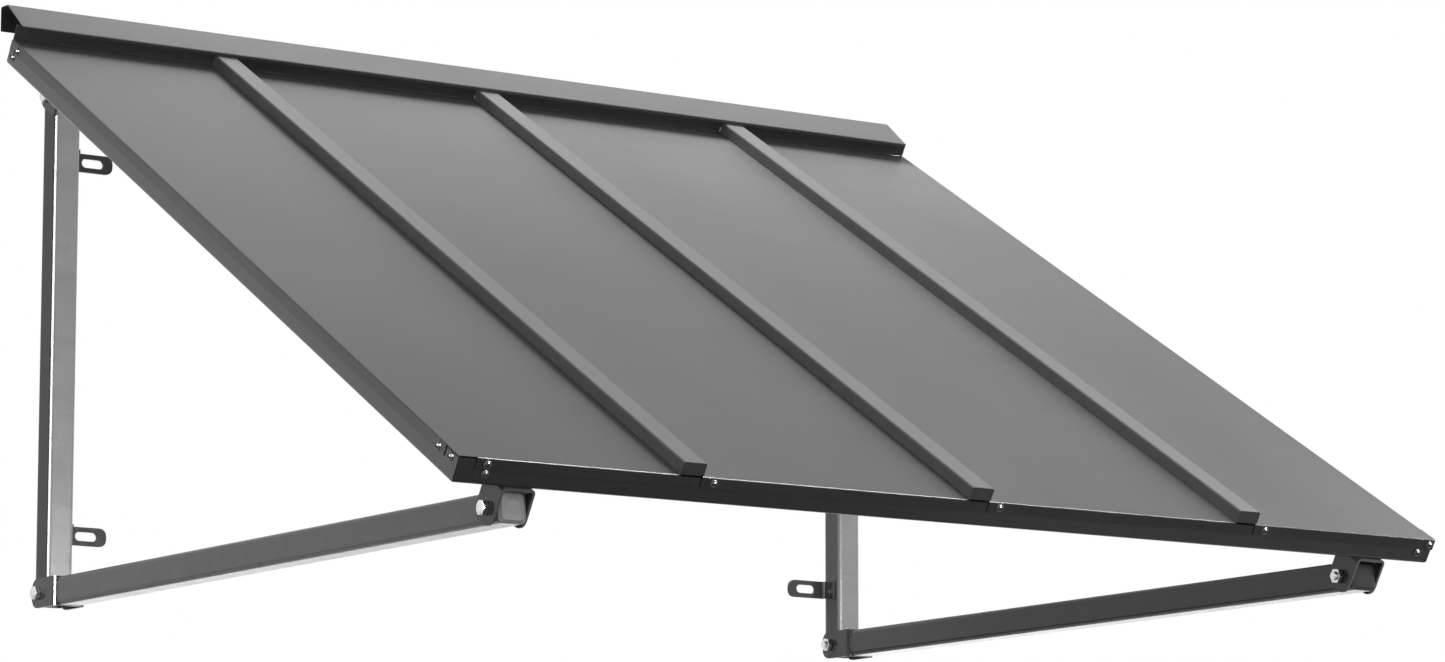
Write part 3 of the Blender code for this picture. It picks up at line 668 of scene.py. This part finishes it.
def hexagon(tree, flats, low, high, both_ends):
    """A hexagonal prism from low to high whose corners are turned off at the top, or at both ends."""
    corner = tree.math("MULTIPLY", flats, 1 / math.sqrt(3))
    prism = tree.cylinder(6, corner, low, high)
    chamfer = tree.math("MULTIPLY", flats, CHAMFER_DEPTH)
    cone = tree.node(
        "GeometryNodeMeshCone",
        {"fill_type": "TRIANGLE_FAN"},
        {
            "Vertices": ROUND_SIDES,
            "Radius Top": tree.math("MULTIPLY", flats, CHAMFER_TOP),
            "Radius Bottom": tree.math("MULTIPLY", flats, CHAMFER_BASE),
            "Depth": chamfer,
        },
        "Mesh",
    )
    top = tree.vector(z=tree.math("SUBTRACT", high, chamfer))
    shaped = tree.boolean("INTERSECT", prism, tree.moved(cone, top))
    if both_ends:
        flip = {"Geometry": cone, "Rotation": (math.pi, 0, 0)}
        bottom = tree.node("GeometryNodeTransform", None, flip)
        place = tree.vector(z=tree.math("ADD", low, chamfer))
        shaped = tree.boolean("INTERSECT", shaped, tree.moved(bottom, place))
    return shaped


def bolt_tree(fasteners, sides, material):
    """A hex bolt through the pivot at the origin, its head at +z and its thread at -z."""
    tree = Tree(
        "pivot_bolt",
        {
            "Flats": fasteners.flats,
            "Head": fasteners.head_height,
            "Nut": fasteners.nut_height,
            "Shank": fasteners.bolt_shank,
            "Pitch": fasteners.thread_pitch,
            "Seat": fasteners.seat,
            "Tip": 0.002,
            "Sides": sides,
        },
    )
    seat = tree.size("Seat")
    washer_top = tree.math("ADD", seat, WASHER_HEIGHT)
    head_top = tree.math("ADD", seat, tree.size("Head"))
    head = hexagon(tree, tree.size("Flats"), washer_top, head_top, False)
    washer_radius = tree.math("MULTIPLY", tree.size("Flats"), WASHER_FACE)
    washer = tree.cylinder(ROUND_SIDES, washer_radius, seat, tree.math("ADD", washer_top, 0.0002))
    past_seat = tree.math("ADD", tree.size("Nut"), tree.size("Tip"))
    end = tree.math("MULTIPLY", tree.math("ADD", seat, past_seat), -1.0)
    radius = tree.math("MULTIPLY", tree.size("Shank"), 0.5)
    thread_top = tree.math("ADD", end, THREAD_LENGTH)
    shank = tree.cylinder(tree.size("Sides"), radius, thread_top, tree.math("ADD", seat, 0.001))
    inner = tree.math("MULTIPLY", radius, 0.99)
    thread = tree.cylinder(tree.size("Sides"), inner, end, tree.math("ADD", thread_top, 0.0004), 64)
    place = tree.node("GeometryNodeInputPosition")
    x = tree.node("ShaderNodeSeparateXYZ", None, {"Vector": place}, "X")
    y = tree.node("ShaderNodeSeparateXYZ", None, {"Vector": place}, "Y")
    z = tree.node("ShaderNodeSeparateXYZ", None, {"Vector": place}, "Z")
    turns = tree.math("DIVIDE", tree.math("ARCTAN2", y, x), math.tau)
    phase = tree.math("FRACT", tree.math("ADD", tree.math("DIVIDE", z, tree.size("Pitch")), turns))
    from_crest = tree.math("ABSOLUTE", tree.math("SUBTRACT", tree.math("MULTIPLY", phase, 2.0), 1.0))
    groove = tree.math("SUBTRACT", 1.0, from_crest)
    narrow = tree.math("SUBTRACT", 1.0, tree.math("MULTIPLY", groove, THREAD_DEPTH))
    scaled_place = tree.node(
        "ShaderNodeVectorMath", {"operation": "MULTIPLY"}, {0: place, 1: tree.vector(narrow, narrow, 1.0)}
    )
    thread = tree.node("GeometryNodeSetPosition", None, {"Geometry": thread, "Position": scaled_place})
    tree.finish(tree.boolean("UNION", head, washer, shank, thread), material)
    return tree


def nut_tree(fasteners, sides, material):
    """A hex nut on the -z side of the pivot at the origin."""
    tree = Tree(
        "pivot_nut",
        {
            "Flats": fasteners.flats,
            "Nut": fasteners.nut_height,
            "Hole": fasteners.bolt_shank + 0.0006,
            "Seat": fasteners.seat,
            "Sides": sides,
        },
    )
    high = tree.math("MULTIPLY", tree.size("Seat"), -1.0)
    low = tree.math("SUBTRACT", high, tree.size("Nut"))
    body = hexagon(tree, tree.size("Flats"), low, high, True)
    radius = tree.math("MULTIPLY", tree.size("Hole"), 0.5)
    bore = tree.cylinder(
        tree.size("Sides"), radius, tree.math("SUBTRACT", low, 0.001), tree.math("ADD", high, 0.001)
    )
    tree.finish(tree.boolean("DIFFERENCE", body, bore), material)
    return tree


# Operators


class AWNING_OT_sheet_metal(bpy.types.Operator):
    """Coats the pans, the batten caps and the ridge flashing"""

    bl_idname = "awning.sheet_metal"
    bl_label = "Coat the sheet metal"

    def execute(self, context):
        coat, _, _ = settings()
        colour, sheen = coat.sheet_colour, coat.sheet_roughness
        sheet = powder_coat("sheet_coat", colour, sheen, coat, (1, 0.45, 0.45), PAN_IOR, bowed=True)
        coat_nodes(PANS, sheet)
        coat_nodes(CAPS, powder_coat("cap_coat", colour, sheen, coat, (1, 0.3, 0.3), CAP_IOR))
        flashing = powder_coat("flashing_coat", colour, sheen, coat, (0.3, 1, 1), FLASHING_IOR)
        coat_nodes(["ridge_flashing"], flashing)
        return {"FINISHED"}


class AWNING_OT_frame_metal(bpy.types.Operator):
    """Coats the rails, posts, arms, brackets, clevises and lugs"""

    bl_idname = "awning.frame_metal"
    bl_label = "Coat the frame"

    def execute(self, context):
        coat, _, _ = settings()
        colour, sheen = coat.frame_colour, coat.frame_roughness
        coat_nodes(RAIL_NODES, powder_coat("rail_coat", colour, sheen, coat, (0.4, 0.6, 0.6), TUBE_IOR))
        coat_nodes(ARM_NODES, powder_coat("arm_coat", colour, sheen, coat, (1, 0.5, 0.5), TUBE_IOR))
        coat_nodes(POST_NODES, powder_coat("post_coat", colour, sheen, coat, (0.5, 0.5, 1), POST_IOR))
        return {"FINISHED"}


class AWNING_OT_plastic(bpy.types.Operator):
    """Finishes the arms' plugs and the blocks in the roof frame's corners"""

    bl_idname = "awning.plastic"
    bl_label = "Finish the plastic pieces"

    def execute(self, context):
        coat, _, _ = settings()
        coat_nodes(PLUG_NODES, moulded_plastic("plug_plastic", coat.plug_colour, 0.45))
        coat_nodes(BLOCK_NODES, moulded_plastic("block_plastic", coat.block_colour, 0.55))
        return {"FINISHED"}


class AWNING_OT_roof_screws(bpy.types.Operator):
    """Grows the pan-head screws of the roof on their solids"""

    bl_idname = "awning.roof_screws"
    bl_label = "Roof screws"

    def execute(self, context):
        coat, fasteners, studio = settings()
        dark = screw_coat(coat)
        places = [screw_seat(name, fasteners.screw_length) for name in SCREW_NODES]
        screws = grown_on_points("roof_screws", places, screw_tree(fasteners, studio.facets, dark))
        stand_for(screws, SCREW_NODES)
        return {"FINISHED"}


class AWNING_OT_pivot_bolts(bpy.types.Operator):
    """Grows the hex bolts and nuts of the six pivots"""

    bl_idname = "awning.pivot_bolts"
    bl_label = "Pivot bolts and nuts"

    def execute(self, context):
        coat, fasteners, studio = settings()
        zinc = zinc_plate(coat)
        places = [pivot_place(name) for name in BOLT_NODES]
        bolts = grown_on_points("pivot_bolts", places, bolt_tree(fasteners, studio.facets, zinc))
        stand_for(bolts, BOLT_NODES)
        places = [pivot_place(name) for name in NUT_NODES]
        nuts = grown_on_points("pivot_nuts", places, nut_tree(fasteners, studio.facets, zinc))
        stand_for(nuts, NUT_NODES)
        return {"FINISHED"}


# Studio


def seen_directly(shade):
    """1 on rays from the camera and on reflected or refracted ones, else 0."""
    camera = shade.node("ShaderNodeLightPath", output="Is Camera Ray")
    glossy = shade.node("ShaderNodeLightPath", output="Is Glossy Ray")
    through = shade.node("ShaderNodeLightPath", output="Is Transmission Ray")
    total = camera + glossy + through
    return shade.node("ShaderNodeClamp", None, {"Value": total})


def soft_lamp(name, place, aim, width, height, power):
    lamp = bpy.data.lights.new(name, "AREA")
    lamp.shape = "RECTANGLE"
    lamp.size, lamp.size_y = width, height
    lamp.energy = power
    holder = bpy.data.objects.new(name, lamp)
    holder.location = place
    holder.rotation_euler = (Vector(aim) - Vector(place)).to_track_quat("-Z", "Y").to_euler()
    holder.visible_camera = False
    bpy.context.scene.collection.objects.link(holder)
    return holder


def light_only(lamp, names, shading=()):
    """Lets a lamp light the named nodes or pieces alone, shaded by these and by the shading ones."""
    lit = bpy.data.collections.new(f"{lamp.name}_lit")
    blockers = bpy.data.collections.new(f"{lamp.name}_blockers")
    for name in (*names, *shading):
        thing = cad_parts.get(name) or bpy.data.objects[name]
        blockers.objects.link(thing)
        if name in names:
            lit.objects.link(thing)
    lamp.light_linking.receiver_collection = lit
    lamp.light_linking.blocker_collection = blockers


def make_floor(studio):
    """A wide pale floor, which is dim in the light that it throws back, so that undersides stay dark."""
    sides, reach = 96, studio.floor_reach
    turns = [math.tau * side / sides for side in range(sides)]
    ring = [(reach * math.cos(turn), reach * math.sin(turn), studio.floor_height) for turn in turns]
    mesh = bpy.data.meshes.new("floor")
    mesh.from_pydata(ring, [], [range(sides)])
    floor = bpy.data.objects.new("floor", mesh)
    bpy.context.scene.collection.objects.link(floor)
    material, shader, shade = new_material("floor_paint")
    path = seen_directly(shade)
    away = shade.node("ShaderNodeVectorMath", {"operation": "LENGTH"}, {0: place_on_surface(shade)}, "Value")
    fade = {"Value": away, "From Min": 2.5, "From Max": 5, "To Min": 1, "To Max": 0}
    near = shade.node("ShaderNodeMapRange", None, fade)
    mirrored = shade.node("ShaderNodeLightPath", output="Is Glossy Ray")
    glowing = shade.node("ShaderNodeClamp", None, {"Value": path - mirrored * near})
    seen = blend(shade, path, (0.10, 0.10, 0.10), tuple(studio.floor_colour))
    glow = blend(shade, glowing, (0, 0, 0), (0.62, 0.62, 0.62))
    shade.tree.links.new(seen.socket, shader.inputs["Base Color"])
    shade.tree.links.new(glow.socket, shader.inputs["Emission Color"])
    shader.inputs["Emission Strength"].default_value = 1.0
    shader.inputs["Roughness"].default_value = 0.9
    shader.inputs["Specular IOR Level"].default_value = 0.0
    mesh.materials.append(material)


def make_world(studio):
    """White where it is seen, and plain soft light on the object."""
    world = bpy.data.worlds.new("studio")
    bpy.context.scene.world = world
    world.use_nodes = True
    tree = world.node_tree
    shade = Shade(tree)
    background = tree.nodes["Background"]
    background.inputs["Color"].default_value = (1, 1, 1, 1)
    path = seen_directly(shade)
    strength = path * (1 - studio.sky_light) + studio.sky_light
    tree.links.new(strength.socket, background.inputs["Strength"])


def make_lamps(studio):
    """Plain lamps for all pieces, and others that light or show in some pieces alone."""
    soft_lamp("lamp_above", (0.6, -0.9, 3.4), MIDDLE, 2.6, 2.2, studio.key_light)
    ridge = soft_lamp("lamp_ridge", (0.3, 0.5, 1.2), MIDDLE, 0.5, 0.5, studio.ridge_light)
    ridge.visible_glossy = False
    sheen = soft_lamp("lamp_sheen", (1.6, -0.5, 0.3), MIDDLE, 0.7, 0.7, studio.sheen_light)
    sheen.visible_diffuse = False
    edges = soft_lamp("lamp_edges", (2.3, -3.0, 2.3), (0.25, -1.0, -0.6), 2.6, 0.7, studio.edge_light)
    edges.visible_diffuse = False
    edges.data.spread = math.radians(34)
    light_only(edges, PANS + CAPS + RAIL_NODES, ["ridge_flashing"])
    left = soft_lamp("lamp_left", (-2.9, -1.3, -0.05), (-0.5, -0.1, -0.35), 0.7, 1.5, studio.left_light)
    left.visible_diffuse = False
    front = soft_lamp("lamp_front", (0.3, -3.0, -0.75), (0, 0, -0.35), 1.6, 0.9, studio.front_light)
    light_only(front, POST_NODES)
    small = soft_lamp("lamp_small", (0.7, -3.2, -0.75), (0, 0, -0.35), 1.6, 0.9, studio.small_light)
    light_only(small, ARM_NODES + ["arm_plug_left"])
    flank = soft_lamp("lamp_side", (-2.8, -0.4, -0.8), (-0.5, -0.4, -0.5), 0.8, 0.8, studio.side_light)
    flank.visible_glossy = False
    light_only(flank, PANS + RAIL_NODES + ["arm_left"])
    rim = soft_lamp("lamp_rim", (0.3, -2.6, -2.2), (0, -0.9, -0.6), 1.2, 0.8, studio.rim_light)
    rim.visible_glossy = False
    light_only(rim, PANS + RAIL_NODES)
    dots = soft_lamp("lamp_dots", (1.7, -3.4, -0.2), (0, -0.8, -0.45), 1.4, 1.4, studio.dot_light)
    dots.visible_diffuse = False
    light_only(dots, ["roof_screws"])
    low = soft_lamp("lamp_low", (3.2, 4.4, -1.0), (0, -0.4, -0.55), 6, 1.6, studio.low_light)
    low.visible_diffuse = False
    light_only(low, [f"arm_{side}" for side in SIDES])


def make_camera(studio):
    camera = bpy.data.cameras.new("camera")
    camera.sensor_width = 36
    camera.lens = studio.camera_lens
    camera.shift_y = studio.camera_rise
    camera.clip_end = 200
    holder = bpy.data.objects.new("camera", camera)
    holder.location = studio.camera_place
    holder.rotation_euler = (math.pi / 2 + studio.camera_tilt, 0, -studio.camera_turn)
    bpy.context.scene.collection.objects.link(holder)
    bpy.context.scene.camera = holder


class AWNING_OT_stage(bpy.types.Operator):
    """Sets up the floor, the light and the camera"""

    bl_idname = "awning.stage"
    bl_label = "Studio and camera"

    def execute(self, context):
        _, _, studio = settings()
        make_floor(studio)
        make_world(studio)
        make_lamps(studio)
        make_camera(studio)
        context.scene.view_settings.view_transform = "Standard"
        return {"FINISHED"}


class AWNING_PT_panel(bpy.types.Panel):
    bl_label = "Awning"
    bl_idname = "AWNING_PT_panel"
    bl_space_type = "VIEW_3D"
    bl_region_type = "UI"
    bl_category = "Awning"

    def draw(self, context):
        for operator in OPERATORS:
            self.layout.operator(operator.bl_idname)
        for group in settings():
            for name in group.__annotations__:
                self.layout.prop(group, name)


GROUPS = {
    "awning_coat": AWNING_PG_coat,
    "awning_fasteners": AWNING_PG_fasteners,
    "awning_studio": AWNING_PG_studio,
}
OPERATORS = (
    AWNING_OT_sheet_metal,
    AWNING_OT_frame_metal,
    AWNING_OT_plastic,
    AWNING_OT_roof_screws,
    AWNING_OT_pivot_bolts,
    AWNING_OT_stage,
)


def register():
    for kind in (*GROUPS.values(), *OPERATORS, AWNING_PT_panel):
        bpy.utils.register_class(kind)
    for name, group in GROUPS.items():
        setattr(bpy.types.Scene, name, PointerProperty(type=group))


def unregister():
    for name in GROUPS:
        delattr(bpy.types.Scene, name)
    for kind in reversed((*GROUPS.values(), *OPERATORS, AWNING_PT_panel)):
        bpy.utils.unregister_class(kind)


def main():
    register()
    bpy.ops.awning.sheet_metal()
    bpy.ops.awning.frame_metal()
    bpy.ops.awning.plastic()
    bpy.ops.awning.roof_screws()
    bpy.ops.awning.pivot_bolts()
    bpy.ops.awning.stage()


if __name__ == "__main__":
    main()
